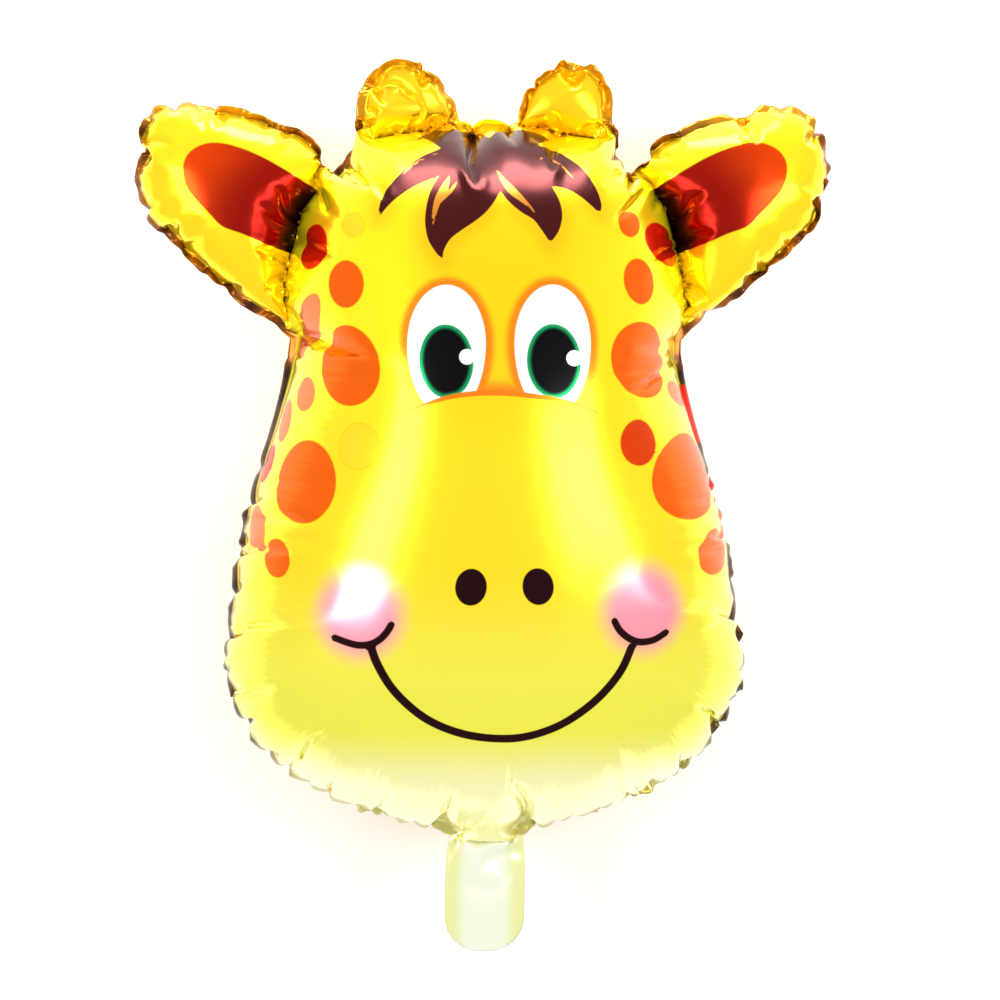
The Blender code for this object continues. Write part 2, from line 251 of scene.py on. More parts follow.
# Where the film's colours change: in metres over the plan, and rows and columns in pixels
EAR_BLEND = (-0.004, 0.004)
EAR_BLEND_FOOT = EAR_ROOT - 0.004
EAR_GOLD_SHARE = 0.5
HORN_BLEND = (HORN_TOP_ROOT - 0.006, HORN_TOP_ROOT + 0.010)
FLANGE_BLEND = (-0.0006, 0.0012)
# The flange's dark and brown waves along the rim are painted reflection of a dark room on its scallops
FLANGE_PAINTED_REFLECTION_WAVES = [(0.3, 0.0205), (0.2, 0.083)]
# How strongly painted shade darkens the flange where it folds back
FLANGE_PAINTED_SHADE_SHARE = 0.8
FLANGE_GOLD_SHARE = 0.75
OLIVE_ROWS = (720, 800)
FOREHEAD_SIDES = (0.026, 0.018)
FOREHEAD_FOOT = 0.9 * BODY_HEIGHT
TAIL_BLEND = (0, 0.004)
TAIL_SIDES = (0.012, 0.024)
SIDE_COLUMNS = (40, 150)
# From the ear's weld line, painted shade in its groove gives way to the red print, and the red to orange
EAR_RED_BLEND = (0.002, 0.018)
EAR_ORANGE_BLEND = (0.040, 0.100)

# The clear coat over the print: on the muzzle, on the forehead above the rows where it changes, and at most
# on the forelock. It fades out at the edges of what is printed darkly
VARNISH = 0.5
FOREHEAD_VARNISH = 0.2
VARNISH_ROWS = (320, 480)
HAIR_VARNISH = 0.12
VARNISH_FADE = (0, 0.0020)

# The shader: how soft an ink's edge is, and rings of ink that start inside or outside their layer's edge
INK_EDGE = 0.00030
FAINT_EDGE = 0.0006
PATCH_RING = {"inset": -0.0004, "edge": 0.0005, "strength": 0.45}
IRIS_RING = {"inset": 0.0022, "edge": 0.0007}
PUPIL_RING = {"inset": 0.0034, "edge": 0.0006}
# Blender's Mix node has sockets for every kind of data: these are the factor's and the colours' own
COLOUR_MIX_INPUTS = (0, 6, 7)
COLOUR_MIX_OUTPUT = 2
FOIL_SURFACE = {"Metallic": 0.70, "Roughness": 0.19, "Specular IOR Level": 0.22, "Coat Roughness": 0.20}

# The studio: name, place, what it points at, size, and watts
SOFT_BOXES = [("left_box", (-1.13, 0.20, 1.63), (0, 0, 0.1), (1.06, 0.62), 14),
              ("right_box", (1.10, 0.25, 1.60), (0, 0, 0.1), (0.72, 0.9), 14),
              ("top_box", (0.07, 1.70, 0.34), (0, 0.2, 0.1), (0.95, 0.54), 36)]
FLOOR_SIZE = 12
FLOOR_WHITE = (0.95, 0.95, 0.95, 1)
FLOOR_ROUGHNESS = 0.9
ROOM_WHITE = (1, 1, 1, 1)
ROOM_LIGHT = 0.86


def srgb(red, green, blue):
    """Linear light from the colour's eight-bit values."""
    shares = np.array([red, green, blue]) / 255
    return np.where(shares <= 0.04045, shares / 12.92, ((shares + 0.055) / 1.055)**2.4)


INKS = {
    "orange": srgb(240, 98, 6),
    "deep": srgb(220, 64, 4),
    "red": srgb(214, 34, 4),
    "rose": srgb(232, 122, 66),
    # The pale ink is a painted highlight: orange spots painted nearly the film's yellow, as if washed out by
    # glare, with only their printed ring left
    "pale": srgb(255, 218, 40),
}
SIDE_LEMON = srgb(255, 236, 24)
FACE_GOLD = srgb(252, 206, 4)
FACE_LEMON = srgb(253, 220, 8)
GOLD = srgb(250, 206, 16)
MUZZLE_YELLOW = srgb(240, 236, 72)
CREAM = srgb(252, 249, 184)
TAIL_CREAM = srgb(247, 250, 226)
TAIL_EDGE = srgb(240, 240, 168)
BACK_GOLD = srgb(250, 200, 30)
# The flange's dark and brown are painted reflection of a dark room on its scallops
FLANGE_DARK_PAINTED_REFLECTION = srgb(58, 20, 6)
# Painted shade on the flange where it folds back behind the cheeks and the muzzle
FLANGE_PAINTED_SHADE = srgb(30, 10, 4)
FLANGE_BROWN_PAINTED_REFLECTION = srgb(170, 98, 14)
FLANGE_GOLD = srgb(226, 160, 20)
FLANGE_OLIVE = srgb(196, 186, 96)
PATCH_RIM = srgb(150, 90, 10)
EAR_ORANGE = srgb(222, 64, 0)
EAR_RED = srgb(148, 14, 0)
# Painted shade in the ears' weld groove
EAR_GROOVE_PAINTED_SHADE = srgb(40, 4, 8)
HAIR = srgb(66, 8, 8)
STRAND = srgb(204, 128, 36)
LINE_BROWN = srgb(34, 4, 8)
# Orange of the printed glow round the eyes and the muzzle, and of the painted shadow round the forelock
GLOW_AND_PAINTED_SHADOW_ORANGE = srgb(250, 132, 6)
MUZZLE_ORANGE = srgb(238, 124, 4)
MUZZLE_BROWN = srgb(128, 84, 8)
EYE_WHITE = srgb(252, 252, 252)
IRIS_GREEN = srgb(20, 150, 84)
IRIS_DARK = srgb(6, 72, 44)
PUPIL = srgb(6, 6, 8)
BLUSH_PINK = srgb(253, 152, 168)
# What is laid over the face from its middle down, by which share, and the rows between which it comes in
FACE_BANDS = [(FACE_LEMON, 0.9, 360, 480), (MUZZLE_YELLOW, 1, 550, 690), (CREAM, 1, 716, 780)]


def smooth_run(shares):
    """A smooth curve through the given shares of the body's height."""
    return smooth_curve(np.array(shares) * BODY_HEIGHT, CURVE_STEP)


def smooth_curve(knots, pitch):
    """Points about a pitch apart on a smooth curve through the knots."""
    knots = np.vstack([2 * knots[0] - knots[1], knots, 2 * knots[-1] - knots[-2]])
    pieces = []
    for p0, p1, p2, p3 in zip(knots, knots[1:], knots[2:], knots[3:]):
        steps = max(2, round(math.dist(p1, p2) / pitch))
        t = (np.arange(steps) / steps)[:, None]
        pieces.append(0.5 * (2 * p1 + (p2 - p0) * t + (2 * p0 - 5 * p1 + 4 * p2 - p3) * t**2
                             + (3 * p1 - p0 - 3 * p2 + p3) * t**3))
    return np.vstack([*pieces, knots[-2:-1]])


def tail_run():
    """The right half of the tail's edge, from the muzzle's rim down and round to its middle."""
    half = TAIL_WIDTH / 2
    turn = np.linspace(0, math.pi / 2, TAIL_ROUNDING_STEPS)
    rounding = np.column_stack([half - TAIL_CORNER + TAIL_CORNER * np.cos(turn),
                                TAIL_CORNER - TAIL_LENGTH - TAIL_CORNER * np.sin(turn)])
    return np.vstack([[half, 0.0], rounding, [0.0, -TAIL_LENGTH]])


def eased(value, start, end):
    """Nought at the start, one at the end, and a smooth way between."""
    share = np.clip((value - start) / (end - start), 0, 1)
    return share * share * (3 - 2 * share)


def travelled(line):
    """How far along the line each of its points is."""
    return np.concatenate([[0], np.cumsum(np.linalg.norm(np.diff(line, axis=0), axis=1))])


def evenly_spaced(line, pitch):
    """Points about a pitch apart along a line, its two ends among them."""
    along = travelled(line)
    places = np.linspace(0, along[-1], max(2, round(along[-1] / pitch) + 1))
    return np.column_stack([np.interp(places, along, line[:, axis]) for axis in (0, 1)])


def closed_rim(pitch):
    """The whole rim, clockwise from the top of the forehead, with a point in each notch."""
    cheek = smooth_run(CHEEK)
    cheek = cheek[~((cheek[:, 0] < TAIL_WIDTH / 2) & (cheek[:, 1] < BODY_HEIGHT / 10))]
    runs = [smooth_run(run) for run in (FOREHEAD, HORN, TEMPLE, EAR)] + [np.vstack([cheek, tail_run()])]
    right = np.vstack([evenly_spaced(run, pitch)[:-1] for run in runs] + [[[0.0, -TAIL_LENGTH]]])
    return np.vstack([right, right[1:-1][::-1] * (-1, 1)])


def inside(points, rim):
    """Which points lie inside the rim, by counting the edges that a ray to the right crosses."""
    crossings = np.zeros(len(points), int)
    for (x1, y1), (x2, y2) in zip(rim, np.roll(rim, -1, axis=0)):
        straddled = (points[:, 1] > min(y1, y2)) & (points[:, 1] <= max(y1, y2))
        x_there = x1 + (points[:, 1] - y1) * (x2 - x1) / ((y2 - y1) or 1)
        crossings += straddled & (points[:, 0] < x_there)
    return crossings % 2 == 1


def tree_of(points):
    """A tree of points in a plane, to ask which is nearest to a place."""
    tree = KDTree(len(points))
    for number, (x, y) in enumerate(points):
        tree.insert((x, y, 0), number)
    tree.balance()
    return tree


class Lines:
    """The rim and the weld lines as close points, to ask what is nearest."""

    def __init__(self):
        rim = closed_rim(CURVE_STEP)
        welds = [smooth_run(run) for run in (EAR_WELD, HORN_WELD)]
        welds += [weld * (-1, 1) for weld in welds]
        half_neck = TAIL_WIDTH / 2 - FLANGE_WIDTH / 2
        neck = np.linspace(-half_neck, half_neck, round(2 * half_neck / CURVE_STEP))
        welds.append(np.column_stack([neck, np.zeros(len(neck))]))
        self.welds = welds
        along = np.roll(rim, -1, axis=0) - np.roll(rim, 1, axis=0)
        self.outward = np.column_stack([-along[:, 1], along[:, 0]]) / np.linalg.norm(along, axis=1)[:, None]
        self.rim_tree = tree_of(rim)
        self.weld_tree = tree_of(np.vstack(welds))

    @staticmethod
    def gap(tree, points):
        return np.array([tree.find((x, y, 0))[2] for x, y in points])

    def nearest_rim(self, points):
        """The number of the rim's nearest point, and how far it is."""
        found = [self.rim_tree.find((x, y, 0)) for x, y in points]
        return np.array([number for _, number, _ in found]), np.array([gap for _, _, gap in found])

    def clearances(self, points):
        """How far inside the seam, or away from a weld line, each point is."""
        from_seam = self.gap(self.rim_tree, points) - FLANGE_WIDTH
        return np.minimum(from_seam, self.gap(self.weld_tree, points))

    def row(self, field, gap, pitch):
        """Points in order along the line that runs at this clearance, a pitch apart."""
        placed = []
        for x, y in field:
            rim_place, rim_number, rim_gap = self.rim_tree.find((x, y, 0))
            weld_place, weld_number, weld_gap = self.weld_tree.find((x, y, 0))
            by_rim = rim_gap - FLANGE_WIDTH < weld_gap
            place, gap_now = (rim_place, rim_gap) if by_rim else (weld_place, weld_gap)
            reach = gap + FLANGE_WIDTH if by_rim else gap
            if not ON_WELD < gap_now or abs(gap_now - reach) > SCAN_PITCH:
                continue
            away = (x - place[0]) / gap_now, (y - place[1]) / gap_now
            order = (0, rim_number) if by_rim else (1, weld_number)
            placed.append((order, math.atan2(away[1], away[0]),
                           place[0] + away[0] * reach, place[1] + away[1] * reach))
        placed.sort()
        candidates = np.array([entry[2:] for entry in placed])
        candidates = candidates[self.clearances(candidates) > ROW_SLACK * gap - ON_WELD / 2]
        return spaced_from(candidates, np.empty((0, 2)), pitch)


def spaced_from(points, others, pitch):
    """The points that keep a pitch from the others and from each other."""
    kept = np.full((len(others) + len(points), 2), np.inf)
    count = len(others)
    kept[:count] = others
    for point in points:
        near = kept[:count] - point
        if not count or (near * near).sum(axis=1).min() > pitch * pitch:
            kept[count] = point
            count += 1
    return kept[len(others):count]


def lattice(pitch, rim):
    """Points a pitch apart in even triangles, all inside the rim."""
    rows = []
    for number, y in enumerate(np.arange(-TAIL_LENGTH, BODY_HEIGHT, pitch * math.sqrt(3) / 2)):
        x = np.arange(-BODY_HEIGHT / 2, BODY_HEIGHT / 2, pitch) + pitch * (number % 2) / 2
        rows.append(np.column_stack([x, np.full(len(x), y)]))
    field = np.vstack(rows)
    return field[inside(field, rim)]


class Plan:
    """The balloon seen from the front: points and triangles, and which of them are welded flat."""

    def __init__(self, lines):
        rim = closed_rim(RIM_PITCH)
        self.rim_count = len(rim)
        field = lattice(SCAN_PITCH, rim)
        field = field[field[:, 1] > -SCAN_PITCH]
        seam = lines.row(field, 0, SEAM_PITCH)
        seam = seam[seam[:, 1] > 0]
        welds = [evenly_spaced(weld, WELD_PITCH) for weld in lines.welds]
        rows = np.vstack([lines.row(field, gap, ROW_PITCH) for gap in ROW_GAPS])
        rows = rows[rows[:, 1] > 0]
        middle = lattice(INNER_PITCH, rim)
        middle = middle[lines.clearances(middle) > ROW_GAPS[-1] + INNER_PITCH / 2]
        middle = spaced_from(middle, rows, MIDDLE_SPACING)
        tail = lattice(WELD_PITCH, rim)
        tail = tail[(tail[:, 1] < -WELD_PITCH / 2) & (lines.clearances(tail) > WELD_PITCH / 2 - FLANGE_WIDTH)]
        chains = [seam, *welds]
        edges, start = [], len(rim)
        for chain in chains:
            close = np.linalg.norm(np.diff(chain, axis=0), axis=1) < 3 * ROW_PITCH
            edges += [(start + i, start + i + 1) for i in np.flatnonzero(close)]
            start += len(chain)
        self.join(np.vstack([rim, *chains, rows, middle, tail]), edges)
        self.classify(lines)

    def join(self, points, edges):
        """Delaunay triangles inside the rim that keep to the seam and the weld lines."""
        inside_only, tolerance = 1, 1e-6
        border = list(range(self.rim_count))
        made = delaunay_2d_cdt([tuple(p) for p in points], edges, [border], inside_only, tolerance)
        self.points = np.array([tuple(p) for p in made[0]])
        self.triangles = np.array(made[2])

    def classify(self, lines):
        """Which triangles are two films welded together, and which points and edges are on such a weld."""
        centres = self.points[self.triangles].mean(axis=1)
        in_tail = centres[:, 1] < 0
        self.welded = in_tail | (lines.gap(lines.rim_tree, centres) < FLANGE_WIDTH)
        self.edges = unique_edges(self.triangles)
        halfway = self.points[self.edges].mean(axis=1)
        from_weld = lines.gap(lines.weld_tree, halfway)
        self.edge_tied = (from_weld < ON_WELD + CURVE_STEP / 2) & (
            np.linalg.norm(np.diff(self.points[self.edges], axis=1)[:, 0], axis=1) > 2 * ON_WELD)
        welded_edges = unique_edges(self.triangles[self.welded])
        self.edge_tied |= np.isin(edge_keys(self.edges), edge_keys(welded_edges))
        self.tied = np.zeros(len(self.points), bool)
        self.tied[self.edges[self.edge_tied].ravel()] = True
        self.rim = np.arange(self.rim_count)

    def cut_in_four(self, *fields):
        """Halves every edge. Gives the fields, one value or row to a point, with their new points added."""
        count = len(self.points)
        keys = edge_keys(self.edges)
        order = np.argsort(keys)
        mids = [count + order[np.searchsorted(keys[order], edge_keys(side))]
                for side in sides_of(self.triangles)]
        a, b, c = self.triangles.T
        ab, bc, ca = mids
        self.triangles = np.vstack([np.column_stack(four) for four in
                                    ((a, ab, ca), (ab, b, bc), (ca, bc, c), (ab, bc, ca))])
        self.welded = np.tile(self.welded, 4)
        grown = [np.concatenate([field, field[self.edges].mean(axis=1)]) for field in (self.points, *fields)]
        ends = np.roll(self.rim, -1)
        rim_mids = count + order[np.searchsorted(
            keys[order], edge_keys(np.sort(np.column_stack([self.rim, ends]), axis=1)))]
        self.rim = np.column_stack([self.rim, rim_mids]).ravel()
        self.points = grown[0]
        old_mid = np.flatnonzero(self.edge_tied) + count
        tied_now = np.vstack([np.column_stack([self.edges[self.edge_tied][:, end], old_mid])
                              for end in (0, 1)])
        self.tied = np.concatenate([self.tied, self.edge_tied])
        self.edges = unique_edges(self.triangles)
        welded_edges = unique_edges(self.triangles[self.welded])
        tied_keys = np.concatenate([edge_keys(np.sort(tied_now, axis=1)), edge_keys(welded_edges)])
        self.edge_tied = np.isin(edge_keys(self.edges), tied_keys)
        return grown[1:]


def edge_keys(edges):
    """One number for each edge, for sorting and finding."""
    return edges[:, 0].astype(np.int64) * 2**32 + edges[:, 1]


def sides_of(triangles):
    """The first, the second and the third sides of the triangles, each with its lower number first."""
    return [np.sort(triangles[:, pair], axis=1) for pair in ([0, 1], [1, 2], [2, 0])]


def unique_edges(triangles):
    """Every edge once, in the order of its key."""
    keys = np.unique(edge_keys(np.vstack(sides_of(triangles))))
    return np.column_stack([keys >> 32, keys & (2**32 - 1)])


def summed(numbers, rows, count):
    """The rows added up by the number of the point that each of them belongs to."""
    return np.column_stack([np.bincount(numbers, column, count) for column in rows.T])


def slopes(points, triangles):
    """Each triangle's area and the gradient, per corner, of a field that is linear on it."""
    x, y = points[triangles].transpose(2, 0, 1)
    across = np.roll(y, -1, axis=1) - np.roll(y, 1, axis=1)
    upward = np.roll(x, 1, axis=1) - np.roll(x, -1, axis=1)
    areas = 0.5 * (across[:, 0] * upward[:, 1] - across[:, 1] * upward[:, 0])
    return areas, np.stack([across, upward], axis=2) / (2 * areas[:, None, None])


def conjugate_gradients(pull, diagonal, wanted, start, steps, precision):
    """Solves pull(x) = wanted, given the diagonal of pull."""
    x = start.copy()
    rest = wanted - pull(x)
    eased = rest / diagonal
    step = eased.copy()
    size = (rest * eased).sum()
    goal = precision**2 * size
    for _ in range(steps):
        pulled = pull(step)
        share = size / (step * pulled).sum()
        x += share * step
        rest -= share * pulled
        eased = rest / diagonal
        size, old = (rest * eased).sum(), size
        if size < goal:
            break
        step = eased + size / old * step
    return x


def blown_heights(plan):
    """Half the thickness at each point, under an even pressure."""
    areas, gradients = slopes(plan.points, plan.triangles)
    stiffness = np.einsum("tik,tjk->tij", gradients, gradients) * areas[:, None, None]
    count = len(plan.points)
    free = ~plan.tied

    def pull(rise):
        parts = np.einsum("tij,tj->ti", stiffness, rise[plan.triangles])
        return np.bincount(plan.triangles.ravel(), parts.ravel(), count) * free

    load = np.bincount(plan.triangles.ravel(), np.repeat(areas / 3, 3), count) * free
    diagonal = np.bincount(plan.triangles.ravel(), np.einsum("tii->ti", stiffness).ravel(), count)
    rise = conjugate_gradients(pull, diagonal, load, np.zeros(count), HEIGHT_STEPS, HEIGHT_PRECISION)
    return 2 * FULLNESS * np.sqrt(np.maximum(rise, 0))


def flat_pattern(plan, heights, lines):
    """Where each point of the plan lies on the flat film: the film's length down every slope is kept, and
    what that adds round the rim is the slack that puckers."""
    areas, gradients = slopes(plan.points, plan.triangles)
    slope = np.einsum("ti,tik->tk", heights[plan.triangles], gradients)
    steepness = np.linalg.norm(slope, axis=1)
    centres = plan.points[plan.triangles].mean(axis=1)
    nearest_rim = np.array([tuple(lines.rim_tree.find((x, y, 0))[0])[:2] for x, y in centres])
    outward = nearest_rim - centres
    outward /= np.linalg.norm(outward, axis=1)[:, None] + 1e-9
    flange = plan.welded & (centres[:, 1] > 0)
    way = np.where(flange[:, None], outward, slope / (steepness[:, None] + 1e-9))
    stretch = np.sqrt(1 + steepness**2)
    sure = np.where(flange, 1, steepness**2 / (steepness**2 + FLAT_SLOPE**2))
    along = np.einsum("ti,tj->tij", way, way)
    across = np.eye(2) - along
    down = (1 / stretch)[:, None, None] * along
    hoop = ((1 - sure + sure * HOOP_WEIGHT) * stretch)[:, None, None] * across
    weight = (down + hoop) * areas[:, None, None]
    wanted = stretch[:, None, None] * along + across
    stiffness = np.einsum("tik,tkl,tjl->tij", gradients, weight, gradients)
    count = len(plan.points)

    def gathered(parts):
        return summed(plan.triangles.ravel(), parts.reshape(-1, 2), count)

    def pull(flat):
        return gathered(np.einsum("tij,tjk->tik", stiffness, flat[plan.triangles]))

    load = gathered(np.einsum("tik,tkl,tlm->tim", gradients, weight, wanted))
    diagonal = np.bincount(plan.triangles.ravel(), np.einsum("tii->ti", stiffness).ravel(), count)
    return conjugate_gradients(pull, diagonal[:, None], load, plan.points, PATTERN_STEPS, PATTERN_PRECISION)


class Films:
    """Both films as one net of springs: the front has the plan's points, and the back shares those that are
    tied and has its own for the rest."""

    def __init__(self, plan, flat, goal):
        self.plan = plan
        count = len(plan.points)
        loose = ~plan.tied
        self.loose = np.flatnonzero(loose)
        self.behind = np.arange(count)
        self.behind[loose] = count + np.arange(loose.sum())
        self.count = count + loose.sum()
        front = plan.triangles[~plan.welded]
        back = self.behind[front][:, ::-1]
        welded = plan.triangles[plan.welded]
        self.blown = np.vstack([front, back])
        flat = np.vstack([flat, flat[loose]])
        self.net(flat, self.blown, welded)
        self.tied = np.flatnonzero(plan.tied)
        self.goal = goal[self.tied]
        height = np.concatenate([plan.points[:, 1], plan.points[loose, 1]])
        give = CHEEK_SQUASH + (CROWN_SQUASH - CHEEK_SQUASH) * eased(height, CHEEK_TOP, CROWN_FOOT)
        self.squash = ((give[self.a] + give[self.b]) / 2)[:, None]

    def net(self, flat, blown, welded):
        """The springs, and how stiff each point is against bending, both from the flat pattern."""
        triangles = np.vstack([blown, welded])
        strength = np.r_[np.full(len(blown), 0.5), np.full(len(welded), 0.5 * FLANGE_STIFFNESS)]
        x, y = flat[triangles].transpose(2, 0, 1)
        sides = np.stack([np.roll(x, -1, 1) - x, np.roll(y, -1, 1) - y], axis=2)
        areas = 0.5 * np.abs(sides[:, 0, 0] * sides[:, 1, 1] - sides[:, 0, 1] * sides[:, 1, 0]) + 1e-9
        cots = [-(sides[:, (i + 1) % 3] * sides[:, (i + 2) % 3]).sum(axis=1) / (2 * areas) for i in range(3)]
        keys, found = np.unique(edge_keys(np.vstack(sides_of(triangles))), return_inverse=True)
        self.a, self.b = keys >> 32, keys & (2**32 - 1)
        self.stiffness = np.bincount(found, np.tile(strength, 3))[:, None]
        self.turning = np.clip(np.bincount(found, np.concatenate(cots) / 2), 0, LARGEST_TURNING)[:, None]
        self.rest = np.linalg.norm(flat[self.a] - flat[self.b], axis=1)[:, None]
        self.ends = np.concatenate([self.a, self.b])
        self.corners = blown.T.ravel()
        share = np.bincount(triangles.ravel(), np.repeat(areas / 3, 3), self.count)
        in_weld = np.zeros(self.count, bool)
        in_weld[welded.ravel()] = True
        in_film = np.zeros(self.count, bool)
        in_film[blown.ravel()] = True
        stiff = np.where(in_weld, FLANGE_BENDING, 1.0)
        stiff[in_weld & in_film] = 0
        stiff[self.plan.rim] = 0
        stiff[np.flatnonzero(self.plan.tied)] *= in_weld[np.flatnonzero(self.plan.tied)]
        self.flexing = (BENDING * stiff / share)[:, None]
        self.mass = self.steady_mass()

    def steady_mass(self):
        """The smallest mass with which a step of one unit of time stays stable."""
        pull = np.bincount(self.ends, np.tile(self.stiffness[:, 0], 2), self.count)
        turn = np.bincount(self.ends, np.tile(self.turning[:, 0], 2), self.count)
        curl = 2 * turn * self.flexing[:, 0]
        stiffest = self.turning[:, 0] * (curl[self.a] + curl[self.b])
        flex = np.bincount(self.ends, np.tile(stiffest, 2), self.count)
        return (PULL_MASS * pull + FLEX_MASS * flex)[:, None]

    def gather(self, forces):
        """What each spring does to its first end, and the opposite to its other end, added up."""
        return summed(self.ends, np.concatenate([forces, -forces]), self.count)

    def spring_forces(self, points):
        reach = points[self.b] - points[self.a]
        length = np.sqrt(np.einsum("ij,ij->i", reach, reach))[:, None]
        excess = length - self.rest
        excess = np.where(excess < 0, excess * self.squash, excess)
        return self.gather(self.stiffness * excess / length * reach)

    def bending_forces(self, points):
        curl = self.gather(self.turning * (points[self.b] - points[self.a])) * self.flexing
        return -self.gather(self.turning * (curl[self.b] - curl[self.a]))

    def pressure_forces(self, points):
        a, b, c = (points[self.blown[:, corner]] for corner in range(3))
        push = PRESSURE / 6 * np.cross(b - a, c - a)
        return summed(self.corners, np.concatenate([push, push, push]), self.count)

    def settle(self, points, steps, pitch):
        """Lets the films move until they come to rest."""
        speed = np.zeros_like(points)
        guide = np.array([GUIDE, GUIDE, LIFT_GUIDE]) * (pitch / GUIDE_PITCH)
        for step in range(steps):
            if step % PUSH_EVERY == 0:
                push = self.pressure_forces(points)
                push[self.tied] += guide * (self.goal - points[self.tied])
            forces = self.spring_forces(points) + self.bending_forces(points) + push
            speed = DAMPING * speed + forces / self.mass
            points += speed
        return points


def tucked(points):
    """One where the flange is folded back, and nought on the crown, the ears and the tail."""
    x, y = np.abs(points[:, 0]), points[:, 1]
    return eased(y, TUCK_TOP, TUCK_FOOT) * eased(x, *TUCK_SIDES)


def middle_surface(points, lines):
    """Where the films' middle is in space: the horns lean forward, the tail droops, the flange folds back."""
    x, y = points.T
    up_the_horn = np.clip((y - HORN_ROOT) / (BODY_HEIGHT - HORN_ROOT), 0, 1)
    lift = HORN_LEAN * up_the_horn**1.5 * (np.abs(x) < EAR[0][0] * BODY_HEIGHT)
    lift -= TAIL_DROOP * np.clip(-y / TAIL_LENGTH, 0, 1)**2
    number, gap = lines.nearest_rim(points)
    tuck = TUCK * tucked(points)
    beyond = np.clip(FLANGE_WIDTH - gap, 0, None)
    spared = (1 - np.cos(tuck)) * FLANGE_WIDTH * TUCK_SHIFT
    move = spared * (1 - eased(gap, FLANGE_WIDTH, FLANGE_WIDTH + TUCK_FADE)) - beyond * (1 - np.cos(tuck))
    return np.column_stack([points + lines.outward[number] * move[:, None], lift - beyond * np.sin(tuck)])


class Stand:
    """How the seam's plane lies in the world: found from the solid, and moved so that the back rests."""

    def __init__(self, node):
        corners = np.array([tuple(vertex.co) for vertex in node.data.vertices])
        spread = np.linalg.eigh(np.cov(corners.T))[1]
        normal = spread[:, 0] * np.sign(spread[2, 0])
        angle = math.atan2(-normal[1], normal[2])
        level, tilt = math.cos(angle), math.sin(angle)
        self.turn = np.array([[1, 0, 0], [0, level, tilt], [0, -tilt, level]])
        self.middle = (corners[:, 1].min() + corners[:, 1].max()) / 2
        self.shift = np.zeros(3)

    def rest(self, points):
        """The points laid on the floor, pressed flat where they touch it."""
        placed = points @ self.turn
        self.shift = np.array([0, self.middle - (placed[:, 1].min() + placed[:, 1].max()) / 2,
                               -placed[:, 2].min() - FLOOR_PRESS])
        placed = placed + self.shift
        placed[:, 2] = np.maximum(placed[:, 2], 0)
        return placed

    def place(self, x, y, z):
        """Where a point over the plan is in the world."""
        return Vector(np.array([x, y, z]) @ self.turn + self.shift)


def blow_up():
    """The plan, the films' points over it and the flat pattern, all at the finest mesh."""
    lines = Lines()
    plan = Plan(lines)
    heights = blown_heights(plan)
    flat = flat_pattern(plan, heights, lines)
    middle = middle_surface(plan.points, lines)
    rise = np.column_stack([np.zeros((len(heights), 2)), heights])
    front, back = middle + rise, middle - rise
    noise = np.random.default_rng(PUCKER_SEED)
    for level, steps in enumerate(LEVEL_STEPS):
        if level:
            flat, front, back = plan.cut_in_four(flat, front, back)
        films = Films(plan, flat, middle_surface(plan.points, lines))
        points = np.vstack([front, back[films.loose]])
        if level < NOISY_LEVELS:
            points += noise.normal(0, LEVEL_NOISE, points.shape)
        points = films.settle(points, steps, INNER_PITCH / 2**level)
        front = points[:len(plan.points)].copy()
        back = front.copy()
        back[films.loose] = points[len(plan.points):]
    return lines, plan, flat, front, back


def vertex_normals(points, triangles):
    """Which way the surface faces at each point."""
    a, b, c = (points[triangles[:, corner]] for corner in range(3))
    facing = np.cross(b - a, c - a)
    normals = summed(triangles.ravel(), np.repeat(facing, 3, axis=0), len(points))
    return normals / (np.linalg.norm(normals, axis=1)[:, None] + 1e-12)


def film_mesh(plan, front, back, stand):
    """One closed skin: the front, the back, a hair apart where they are welded, and the rim's cut edge."""
    parting = vertex_normals(front, plan.triangles) * FILM_GAP / 2 * plan.tied[:, None]
    count = len(front)
    points = stand.rest(np.vstack([front + parting, back - parting]))
    ends = np.roll(plan.rim, -1)
    walls = np.vstack([np.column_stack([plan.rim, ends, ends + count]),
                       np.column_stack([plan.rim, ends + count, plan.rim + count])])
    triangles = np.vstack([plan.triangles, plan.triangles[:, ::-1] + count, walls])
    mesh = bpy.data.meshes.new("balloon_films")
    mesh.vertices.add(len(points))
    mesh.vertices.foreach_set("co", points.ravel())
    mesh.loops.add(3 * len(triangles))
    mesh.loops.foreach_set("vertex_index", triangles.ravel())
    mesh.polygons.add(len(triangles))
    mesh.polygons.foreach_set("loop_start", np.arange(0, 3 * len(triangles), 3))
    mesh.update(calc_edges=True)
    mesh.polygons.foreach_set("use_smooth", np.ones(len(triangles), bool))
    return mesh


def oval(middle, half_width, rise, drop, tilt):
    """A closed oval in pixels, whose widest row is the middle's, leaning to the right at the top."""
    turn = np.linspace(0, 2 * math.pi, OVAL_POINTS, endpoint=False)
    x = half_width * np.cos(turn)
    y = np.sin(turn)
    y = y * np.where(y < 0, rise, drop)
    lean = math.radians(tilt)
    return np.array(middle) + np.column_stack([x * math.cos(lean) - y * math.sin(lean),
                                               x * math.sin(lean) + y * math.cos(lean)])


def distance_from(points, line, half_widths):
    """How far outside a stroke along the line each point is: less than nothing inside it."""
    nearest = np.full(len(points), FAR_OUTSIDE)
    for start, end, first, last in zip(line, line[1:], half_widths, half_widths[1:]):
        span = end - start
        share = np.clip((points - start) @ span / (span @ span + 1e-12), 0, 1)
        gap = np.linalg.norm(points - start - share[:, None] * span, axis=1) - first - share * (last - first)
        np.minimum(nearest, gap, out=nearest)
    return nearest


